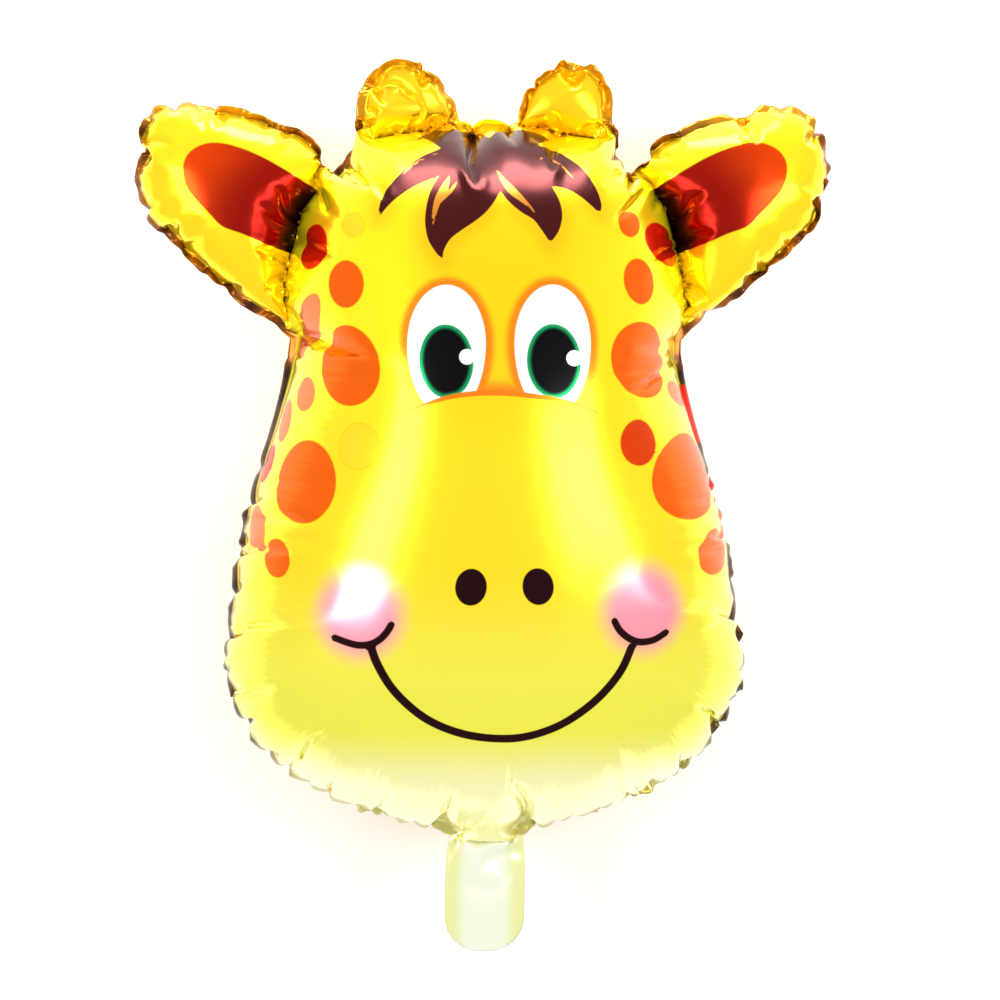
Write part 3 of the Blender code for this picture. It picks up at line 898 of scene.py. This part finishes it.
def photo_middle():
    """The place over the plan that the photograph's middle shows."""
    across = (PHOTO_SIZE / 2 - MIDDLE_COLUMN) * METRES_TO_A_PIXEL
    up = (MUZZLE_ROW - PHOTO_SIZE / 2) * METRES_TO_A_PIXEL
    return across, up


def photo_pixels(points):
    """Where the photograph's camera sees points over the plan."""
    across, up = photo_middle()
    side, ahead = math.cos(CAMERA_YAW), math.sin(CAMERA_YAW)
    x, y, z = (points - (across, up, 0)).T
    depth = CAMERA_REACH - (z * side - x * ahead)
    scale = CAMERA_REACH / depth / METRES_TO_A_PIXEL
    return np.column_stack([PHOTO_SIZE / 2 + (x * side + z * ahead) * scale, PHOTO_SIZE / 2 - y * scale])


class Print:
    """Layers of ink on the flat film: how far outside its layer's ink each point of the film is."""

    def __init__(self, plan, flat, front):
        self.flat = flat
        faces_up = vertex_normals(front, plan.triangles)[:, 2] > 0
        self.seen = photo_pixels(front)[faces_up]
        self.seen_flat = flat[faces_up]
        self.tree = tree_of(self.seen)

    def local_map(self, pixel, count=NEAREST_POINTS, blur=NEAREST_BLUR):
        """The flat place of a pixel, and how the flat place changes from there with the pixel."""
        found = [number for _, number, _ in self.tree.find_n((*pixel, 0), count)]
        offsets = self.seen[found] - pixel
        weight = 1 / np.hypot(np.linalg.norm(offsets, axis=1), blur)[:, None]
        offsets = np.column_stack([offsets, np.ones(len(found))])
        fitted = np.linalg.lstsq(weight * offsets, weight * self.seen_flat[found], rcond=None)[0]
        return fitted[2], fitted[:2]

    def on_film(self, pixels):
        return np.array([self.local_map(pixel)[0] for pixel in pixels])

    def near(self, outline):
        """The numbers of the film's points in a box round the outline."""
        low, high = outline.min(axis=0) - PRINT_REACH, outline.max(axis=0) + PRINT_REACH
        return np.flatnonzero(((self.flat > low) & (self.flat < high)).all(axis=1))

    def area(self, outline):
        """The inside of a closed outline on the film."""
        layer = np.full(len(self.flat), FAR_OUTSIDE)
        near = self.near(outline)
        closed = np.vstack([outline, outline[:1]])
        gap = distance_from(self.flat[near], closed, np.zeros(len(closed)))
        layer[near] = np.where(inside(self.flat[near], outline), -gap, gap)
        return layer

    def oval(self, middle, half_width, rise, drop, tilt):
        return self.area(self.on_film(oval(middle, half_width, rise, drop, tilt)))

    def spot(self, middle, half_width, half_height, tilt):
        """An oval that keeps its shape on the film where the film turns away."""
        place, change = self.local_map(np.array(middle), SPOT_POINTS, SPOT_BLUR)
        return self.area(place + oval((0, 0), half_width, half_height, half_height, tilt) @ change)

    def stroke(self, line, half_widths):
        """A line of pixels drawn on the film, with half its width at each of its points."""
        layer = np.full(len(self.flat), FAR_OUTSIDE)
        line = self.on_film(line)
        near = self.near(line)
        layer[near] = distance_from(self.flat[near], line, np.array(half_widths) * METRES_TO_A_PIXEL)
        return layer

    def tapered(self, knots):
        """A stroke through knots that have half their width as a third value."""
        curve = smooth_curve(np.array(knots, float), CURVE_PIXELS)
        return self.stroke(curve[:, :2], curve[:, 2])


def all_of(layers):
    """One layer with the ink of them all."""
    return np.min(layers, axis=0)


def blend(below, above, share):
    """The colour above laid over the one below, by a share for each point."""
    return below + (above - below) * np.asarray(share)[:, None]


def ripples(plan, lines):
    """Fine waves that run in from the seam: how far along the rim each point is, and how strong they are."""
    number, gap = lines.nearest_rim(plan.points)
    inward = gap - FLANGE_WIDTH
    x, y = np.abs(plan.points[:, 0]), plan.points[:, 1]
    strength = eased(inward, *RIPPLE_RISE) * (1 - eased(inward, *RIPPLE_FADE))
    strength *= np.maximum(eased(x, *NECK_SIDES), eased(y, *NECK_TOP))
    return number * CURVE_STEP, strength * eased(y, *RIPPLE_FOOT) * eased(y, *RIPPLE_TOP)


def beyond_ear_weld(points):
    """How far outside the ear's weld line each point is, on the ear's side of it."""
    weld = np.array(EAR_WELD + [TEMPLE[-1]]) * BODY_HEIGHT
    return np.abs(points[:, 0]) - np.interp(points[:, 1], weld[:, 1], weld[:, 0])


def flange_colour_with_painted_light(plan, along, horn, row):
    """The flange's colour at each point of the plan, whether it is on the flange or not: dark and brown waves
    that are painted reflection of a dark room on its scallops, painted shade where it folds back, gold by the
    horns, lemon on the forehead and olive towards the bottom.
    """
    x, y = plan.points.T
    # Painted reflection: dark and brown waves along the rim, as the scallops reflect a dark room
    wave = 0.5
    for height, pitch in FLANGE_PAINTED_REFLECTION_WAVES:
        wave = wave + height * np.sin(along * 2 * math.pi / pitch)
    forehead = eased(np.abs(x), *FOREHEAD_SIDES) * (y > FOREHEAD_FOOT)
    colour = blend(np.tile(FLANGE_DARK_PAINTED_REFLECTION, (len(x), 1)), FLANGE_BROWN_PAINTED_REFLECTION, wave)
    # Painted shade where the flange folds back
    colour = blend(colour, FLANGE_PAINTED_SHADE, FLANGE_PAINTED_SHADE_SHARE * tucked(plan.points))
    colour = blend(colour, FLANGE_GOLD, FLANGE_GOLD_SHARE * horn)
    colour = blend(colour, SIDE_LEMON, forehead)
    return blend(colour, FLANGE_OLIVE, eased(row, *OLIVE_ROWS))


def film_colours_with_painted_light(plan, lines):
    """The film's colour at each point of the plan, on the front and on the back, with the flange's painted
    reflection and painted shade.
    """
    x, y = plan.points.T
    row = MUZZLE_ROW - y / METRES_TO_A_PIXEL
    column = MIDDLE_COLUMN + x / METRES_TO_A_PIXEL
    ear = eased(beyond_ear_weld(plan.points), *EAR_BLEND) * (y > EAR_BLEND_FOOT)
    horn = eased(y, *HORN_BLEND)
    side = eased(np.abs(column - FACE_COLUMN), *SIDE_COLUMNS)
    front = blend(np.tile(FACE_GOLD, (len(x), 1)), SIDE_LEMON, side)
    for ink, share, first_row, last_row in FACE_BANDS:
        front = blend(front, ink, share * eased(row, first_row, last_row))
    front = blend(front, GOLD, np.maximum(EAR_GOLD_SHARE * ear, horn))
    back = np.tile(BACK_GOLD, (len(x), 1))
    number, gap = lines.nearest_rim(plan.points)
    flange = eased(FLANGE_WIDTH - gap, *FLANGE_BLEND) * (y > 0)
    rim_colour_with_painted_light = flange_colour_with_painted_light(plan, number * CURVE_STEP, horn, row)
    tail = eased(-y, *TAIL_BLEND)
    tail_colour = blend(np.tile(TAIL_CREAM, (len(x), 1)), TAIL_EDGE, eased(np.abs(x), *TAIL_SIDES))
    return [blend(blend(film, rim_colour_with_painted_light, flange), tail_colour, tail) for film in (front, back)]


def muzzle_widths(from_middle, down):
    """Half the width in metres of the muzzle's orange line, and of its brown ends, by where the pixel is."""
    past_line = np.maximum(eased(from_middle, *MUZZLE_END), down > MUZZLE_LAST_ROW)
    before_ends = 1 - eased(from_middle, *MUZZLE_BROWNING)
    width = MUZZLE_HALF_WIDTH * (1 - (from_middle / MUZZLE_REACH)**2) - MUZZLE_CUT * past_line
    ends = MUZZLE_END_WIDTH - MUZZLE_CUT * np.maximum(past_line, before_ends)
    return width * METRES_TO_A_PIXEL, ends * METRES_TO_A_PIXEL


def forelock_outline():
    """The forelock's closed outline, with its corners kept sharp."""
    corner, runs = FORELOCK_START, []
    for run in FORELOCK:
        runs.append(smooth_curve(np.array([corner, *run]), CURVE_PIXELS)[:-1])
        corner = run[-1]
    return np.vstack(runs)


def drawn_lines(ink):
    """The smile, the dimples and the nostrils, as one layer."""
    drawn = [ink.oval(*nostril) for nostril in NOSTRILS]
    for line, half_width in [(SMILE, SMILE_HALF_WIDTH)] + [(dimple, DIMPLE_HALF_WIDTH) for dimple in DIMPLES]:
        curve = smooth_curve(np.array(line), CURVE_PIXELS)
        drawn.append(ink.stroke(curve, np.full(len(curve), half_width)))
    return all_of(drawn)


def ear_ink(plan, ink):
    """The print in the ears, which stops at the weld line, and its colour, with painted shade in the weld's
    groove.
    """
    ears = [np.array(EAR_PRINT), np.array(EAR_PRINT) * (-1, 1) + (2 * MIDDLE_COLUMN, 0)]
    printed = all_of([ink.area(ink.on_film(smooth_curve(ear, CURVE_PIXELS))) for ear in ears])
    from_weld = beyond_ear_weld(plan.points)
    colour = blend(np.tile(EAR_GROOVE_PAINTED_SHADE, (len(from_weld), 1)), EAR_RED, eased(from_weld, *EAR_RED_BLEND))
    colour = blend(colour, EAR_ORANGE, eased(from_weld, *EAR_ORANGE_BLEND))
    return np.maximum(printed, -from_weld), colour


def fading(layer, span):
    """One at the layer's first distance in pixels and nought at its last."""
    return 1 - eased(layer, *(METRES_TO_A_PIXEL * pixels for pixels in span))


def print_layers(plan, flat, front, lines):
    """Every layer by name, on the front and on the back."""
    ink = Print(plan, flat, front)
    nothing = np.full(len(flat), FAR_OUTSIDE)
    none = np.zeros(len(flat))
    across, down = photo_pixels(front).T
    from_middle = np.abs(across - FACE_COLUMN)
    muzzle_line = smooth_curve(np.array(MUZZLE_LINE), CURVE_PIXELS)
    muzzle = ink.area(ink.on_film(np.vstack([muzzle_line, MUZZLE_FOOT])))
    muzzle_width, muzzle_ends = muzzle_widths(from_middle, down)
    eyes = all_of([ink.oval(*eye) for eye in EYES])
    eyes_shown = np.maximum(eyes, -muzzle)
    irises = np.maximum(all_of([ink.oval(*iris) for iris in IRISES]), eyes_shown)
    glints = all_of([ink.oval(*glint) for glint in GLINTS])
    forelock = ink.area(ink.on_film(forelock_outline()))
    strands = all_of([ink.tapered(strand) for strand in STRANDS])
    line_ink = drawn_lines(ink)
    blush = np.max([fading(np.linalg.norm(flat - place, axis=1), BLUSH_SPAN)
                    for place in ink.on_film(BLUSHES)], axis=0)
    over_muzzle = fading(muzzle, MUZZLE_GLOW) * eased(from_middle, *MUZZLE_GLOW_END)
    glow = np.maximum(fading(eyes, EYE_GLOW), over_muzzle * (down < MUZZLE_GLOW_LAST_ROW))
    spots = np.array([ink.spot(*spot[:4]) for spot in SPOTS])
    spot_ink = spots.min(axis=0)
    spot_colour = np.array([INKS[spot[4]] for spot in SPOTS])[spots.argmin(axis=0)]
    ear_print, ear_colour = ear_ink(plan, ink)
    patches = np.minimum(spot_ink, ear_print)
    patch_colour = np.where((ear_print < spot_ink)[:, None], ear_colour, spot_colour)
    varnish = FOREHEAD_VARNISH + (VARNISH - FOREHEAD_VARNISH) * eased(down, *VARNISH_ROWS)
    varnish *= eased(all_of([irises, line_ink, patches]), *VARNISH_FADE)
    varnish = np.where(forelock < 0, np.minimum(varnish, HAIR_VARNISH), varnish)
    front_colour_with_painted_light, back_colour_with_painted_light = film_colours_with_painted_light(plan, lines)
    # Orange painted shadow round the forelock
    front_colour_with_painted_light = blend(front_colour_with_painted_light, GLOW_AND_PAINTED_SHADOW_ORANGE, HAIR_PAINTED_SHADOW_SHARE * fading(forelock, HAIR_PAINTED_SHADOW))
    ripple_place, ripple_strength = ripples(plan, lines)
    return {
        "ripple_place": (ripple_place, ripple_place),
        "ripple_strength": (ripple_strength, ripple_strength),
        "film_colour_with_painted_light": (front_colour_with_painted_light, back_colour_with_painted_light),
        "patches": (patches, spot_ink),
        "patch_colour": (patch_colour, spot_colour),
        "glow": (glow, none),
        "muzzle": (muzzle, nothing),
        "muzzle_width": (muzzle_width, -nothing),
        "muzzle_ends": (muzzle_ends, -nothing),
        "varnish": (varnish, none),
        "eye_white": (eyes_shown, nothing),
        "iris": (irises, nothing),
        "glint": (glints, nothing),
        "forelock": (forelock, nothing),
        "strands": (strands, nothing),
        "line_ink": (line_ink, nothing),
        "blush": (blush, none),
    }


def store_layers(mesh, layers):
    """Stores each layer on the mesh's points, first the front's and then the back's."""
    for name, sides in layers.items():
        values = np.concatenate(sides).astype(np.float32)
        kind, field = ("FLOAT", "value") if values.ndim == 1 else ("FLOAT_VECTOR", "vector")
        mesh.attributes.new(name, kind, "POINT").data.foreach_set(field, values.ravel())


class Foil:
    """A shader that lays one ink over another, each from a layer stored on the mesh."""

    def __init__(self, name):
        self.material = bpy.data.materials.new(name)
        self.material.use_nodes = True
        self.nodes = self.material.node_tree.nodes
        self.links = self.material.node_tree.links
        self.surface = self.nodes["Principled BSDF"]

    def layer(self, name, output):
        """A layer's own value as Fac, or its colour as Color."""
        node = self.nodes.new("ShaderNodeAttribute")
        node.attribute_name = name
        return node.outputs[output]

    def ramp(self, value, start, end):
        """Nought at the start, one at the end."""
        node = self.nodes.new("ShaderNodeMapRange")
        node.inputs["From Min"].default_value = start
        node.inputs["From Max"].default_value = end
        self.links.new(value, node.inputs["Value"])
        return node.outputs["Result"]

    def times(self, first, second):
        """The product of two values, of which the second may be a plain number."""
        node = self.nodes.new("ShaderNodeMath")
        node.operation = "MULTIPLY"
        for socket, value in zip(node.inputs, (first, second)):
            if isinstance(value, float):
                socket.default_value = value
            else:
                self.links.new(value, socket)
        return node.outputs["Value"]

    def over(self, below, share, colour):
        """The colour laid over what is below it, by its share."""
        node = self.nodes.new("ShaderNodeMix")
        node.data_type = "RGBA"
        factor, first, second = (node.inputs[number] for number in COLOUR_MIX_INPUTS)
        self.links.new(share, factor)
        self.links.new(below, first)
        if isinstance(colour, np.ndarray):
            second.default_value = (*colour, 1)
        else:
            self.links.new(colour, second)
        return node.outputs[COLOUR_MIX_OUTPUT]

    def ink(self, below, name, colour, inset=0.0, edge=INK_EDGE, strength=1.0):
        """A layer's ink laid over what is below it, from an inset inside the layer's edge on."""
        share = self.ramp(self.layer(name, "Fac"), edge - inset, -edge - inset)
        if strength < 1:
            share = self.times(share, strength)
        return self.over(below, share, colour)

    def band(self, name, width_name, edge):
        """One where the layer is nearer to nought than a width that is a layer too."""
        near, rest = self.nodes.new("ShaderNodeMath"), self.nodes.new("ShaderNodeMath")
        near.operation, rest.operation = "ABSOLUTE", "SUBTRACT"
        self.links.new(self.layer(name, "Fac"), near.inputs[0])
        self.links.new(near.outputs["Value"], rest.inputs[0])
        self.links.new(self.layer(width_name, "Fac"), rest.inputs[1])
        return self.ramp(rest.outputs["Value"], edge, -edge)

    def wave(self, place, pitch):
        """A wave along the place, from minus one to one."""
        node = self.nodes.new("ShaderNodeMath")
        node.operation = "SINE"
        self.links.new(self.times(place, 2 * math.pi / pitch), node.inputs[0])
        return node.outputs["Value"]

    def bump(self, height, distance):
        """Tilts the surface as a relief of this height would."""
        node = self.nodes.new("ShaderNodeBump")
        node.inputs["Distance"].default_value = distance
        self.links.new(height, node.inputs["Height"])
        self.links.new(node.outputs["Normal"], self.surface.inputs["Normal"])


def printed_foil():
    """The printed film: every ink over the film's colour, which carries the flange's painted reflection and
    painted shade and a painted shadow round the forelock, and the waves along the seam.
    """
    foil = Foil("printed_foil")
    colour = foil.layer("film_colour_with_painted_light", "Color")
    colour = foil.ink(colour, "patches", PATCH_RIM, **PATCH_RING)
    colour = foil.ink(colour, "patches", foil.layer("patch_colour", "Color"))
    colour = foil.over(colour, foil.layer("blush", "Fac"), BLUSH_PINK)
    above_muzzle = foil.ramp(foil.layer("muzzle", "Fac"), -INK_EDGE, INK_EDGE)
    colour = foil.over(colour, foil.times(foil.layer("glow", "Fac"), above_muzzle), GLOW_AND_PAINTED_SHADOW_ORANGE)
    colour = foil.ink(colour, "eye_white", EYE_WHITE)
    colour = foil.ink(colour, "iris", IRIS_GREEN)
    colour = foil.ink(colour, "iris", IRIS_DARK, **IRIS_RING)
    colour = foil.ink(colour, "iris", PUPIL, **PUPIL_RING)
    colour = foil.ink(colour, "glint", EYE_WHITE)
    colour = foil.over(colour, foil.band("muzzle", "muzzle_width", INK_EDGE), MUZZLE_ORANGE)
    colour = foil.over(colour, foil.band("muzzle", "muzzle_ends", FAINT_EDGE), MUZZLE_BROWN)
    colour = foil.ink(colour, "forelock", HAIR)
    colour = foil.ink(colour, "strands", STRAND)
    colour = foil.ink(colour, "line_ink", LINE_BROWN)
    foil.links.new(colour, foil.surface.inputs["Base Color"])
    waves = foil.wave(foil.layer("ripple_place", "Fac"), RIPPLE_PITCH)
    foil.bump(foil.times(waves, foil.layer("ripple_strength", "Fac")), RIPPLE_HEIGHT)
    foil.links.new(foil.layer("varnish", "Fac"), foil.surface.inputs["Coat Weight"])
    for name, value in FOIL_SURFACE.items():
        foil.surface.inputs[name].default_value = value
    return foil.material


def camera(stand):
    """The photograph's camera: straight at the face from above, a little to the left."""
    across, up = photo_middle()
    target = stand.place(across, up, 0)
    place = stand.place(across - CAMERA_REACH * math.sin(CAMERA_YAW), up, CAMERA_REACH * math.cos(CAMERA_YAW))
    data = bpy.data.cameras.new("camera")
    data.sensor_width = SENSOR_WIDTH * 1000
    data.lens = data.sensor_width * CAMERA_REACH / (PHOTO_SIZE * METRES_TO_A_PIXEL)
    item = bpy.data.objects.new("camera", data)
    backward = (place - target).normalized()
    right = (stand.place(across, up + 1, 0) - target).cross(backward).normalized()
    upward = backward.cross(right)
    item.matrix_world = Matrix.Translation(place) @ Matrix((right, upward, backward)).transposed().to_4x4()
    bpy.context.scene.collection.objects.link(item)
    bpy.context.scene.camera = item
    return item


def soft_box(name, place, target, size, watts):
    """A rectangular light at a place, pointed at a target."""
    light = bpy.data.lights.new(name, "AREA")
    light.shape = "RECTANGLE"
    light.size, light.size_y = size
    light.energy = watts
    item = bpy.data.objects.new(name, light)
    item.location = place
    item.rotation_euler = (Vector(target) - Vector(place)).to_track_quat("-Z", "Y").to_euler()
    bpy.context.scene.collection.objects.link(item)


def studio():
    """A pale floor, even light from all round, and the soft boxes."""
    bpy.ops.mesh.primitive_plane_add(size=FLOOR_SIZE)
    floor = bpy.context.object
    floor.name = "floor"
    material = bpy.data.materials.new("floor")
    material.use_nodes = True
    surface = material.node_tree.nodes["Principled BSDF"]
    surface.inputs["Base Color"].default_value = FLOOR_WHITE
    surface.inputs["Roughness"].default_value = FLOOR_ROUGHNESS
    floor.data.materials.append(material)
    world = bpy.data.worlds.new("world")
    world.use_nodes = True
    background = world.node_tree.nodes["Background"]
    background.inputs["Color"].default_value = ROOM_WHITE
    background.inputs["Strength"].default_value = ROOM_LIGHT
    bpy.context.scene.world = world
    for box in SOFT_BOXES:
        soft_box(*box)


def main():
    """Makes the balloon, its print and foil, the camera and the studio."""
    stand = Stand(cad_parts["foil_balloon"])
    lines, plan, flat, front, back = blow_up()
    mesh = film_mesh(plan, front, back, stand)
    store_layers(mesh, print_layers(plan, flat, front, lines))
    balloon = bpy.data.objects.new("balloon_films", mesh)
    bpy.context.scene.collection.objects.link(balloon)
    mesh.materials.append(printed_foil())
    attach(balloon, "root")
    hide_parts("foil_balloon")
    camera(stand)
    studio()
    bpy.context.scene.view_settings.view_transform = "Standard"


main()
